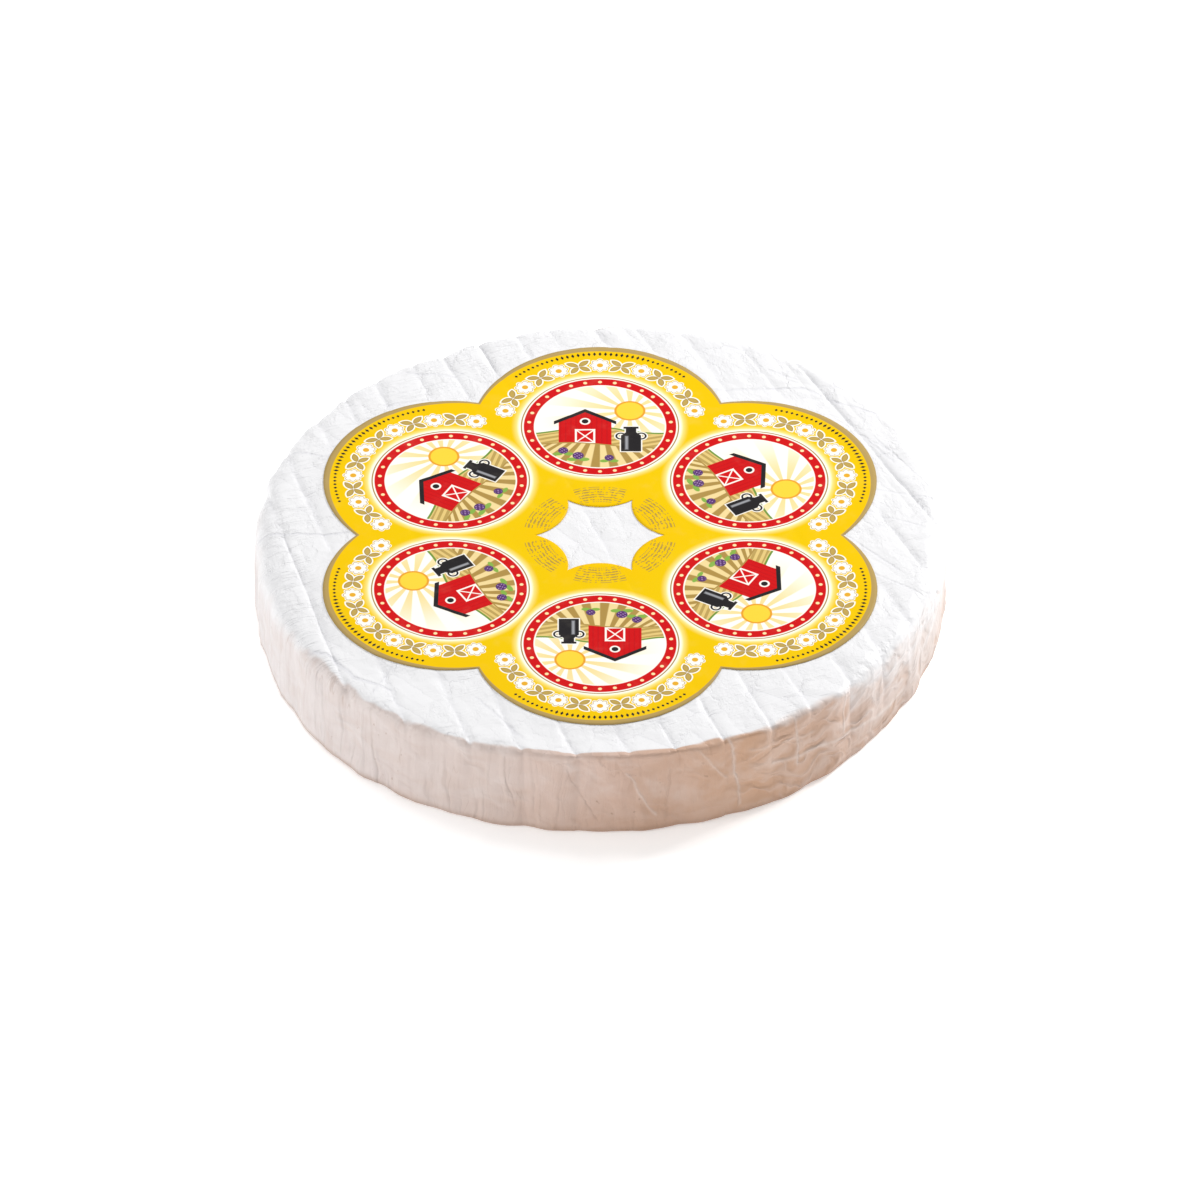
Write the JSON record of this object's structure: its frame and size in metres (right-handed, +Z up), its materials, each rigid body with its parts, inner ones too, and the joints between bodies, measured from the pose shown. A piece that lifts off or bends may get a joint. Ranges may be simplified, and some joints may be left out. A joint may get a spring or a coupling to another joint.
{
  "type": "wrapped brie cheese wheel",
  "caption": "Large flat wheel of soft cheese in a creased white wrap, with a rosette-shaped paper label lying on its top.",
  "frame": {"origin": "middle of the wheel's base, on the surface that it rests on", "axes": "+Z up through the wheel's thickness; the front that the picture shows faces -Y, and +X is to the right"},
  "size_m": [0.3006, 0.3018, 0.0443],
  "materials": {
    "white_wrap": "creased white cheese wrap, soft sheen",
    "label_paper": "printed paper label, semi-gloss"
  },
  "bodies": {
    "root": {"wrapped_wheel": "white_wrap", "label_sheet": "label_paper"}
  },
  "joints": []
}
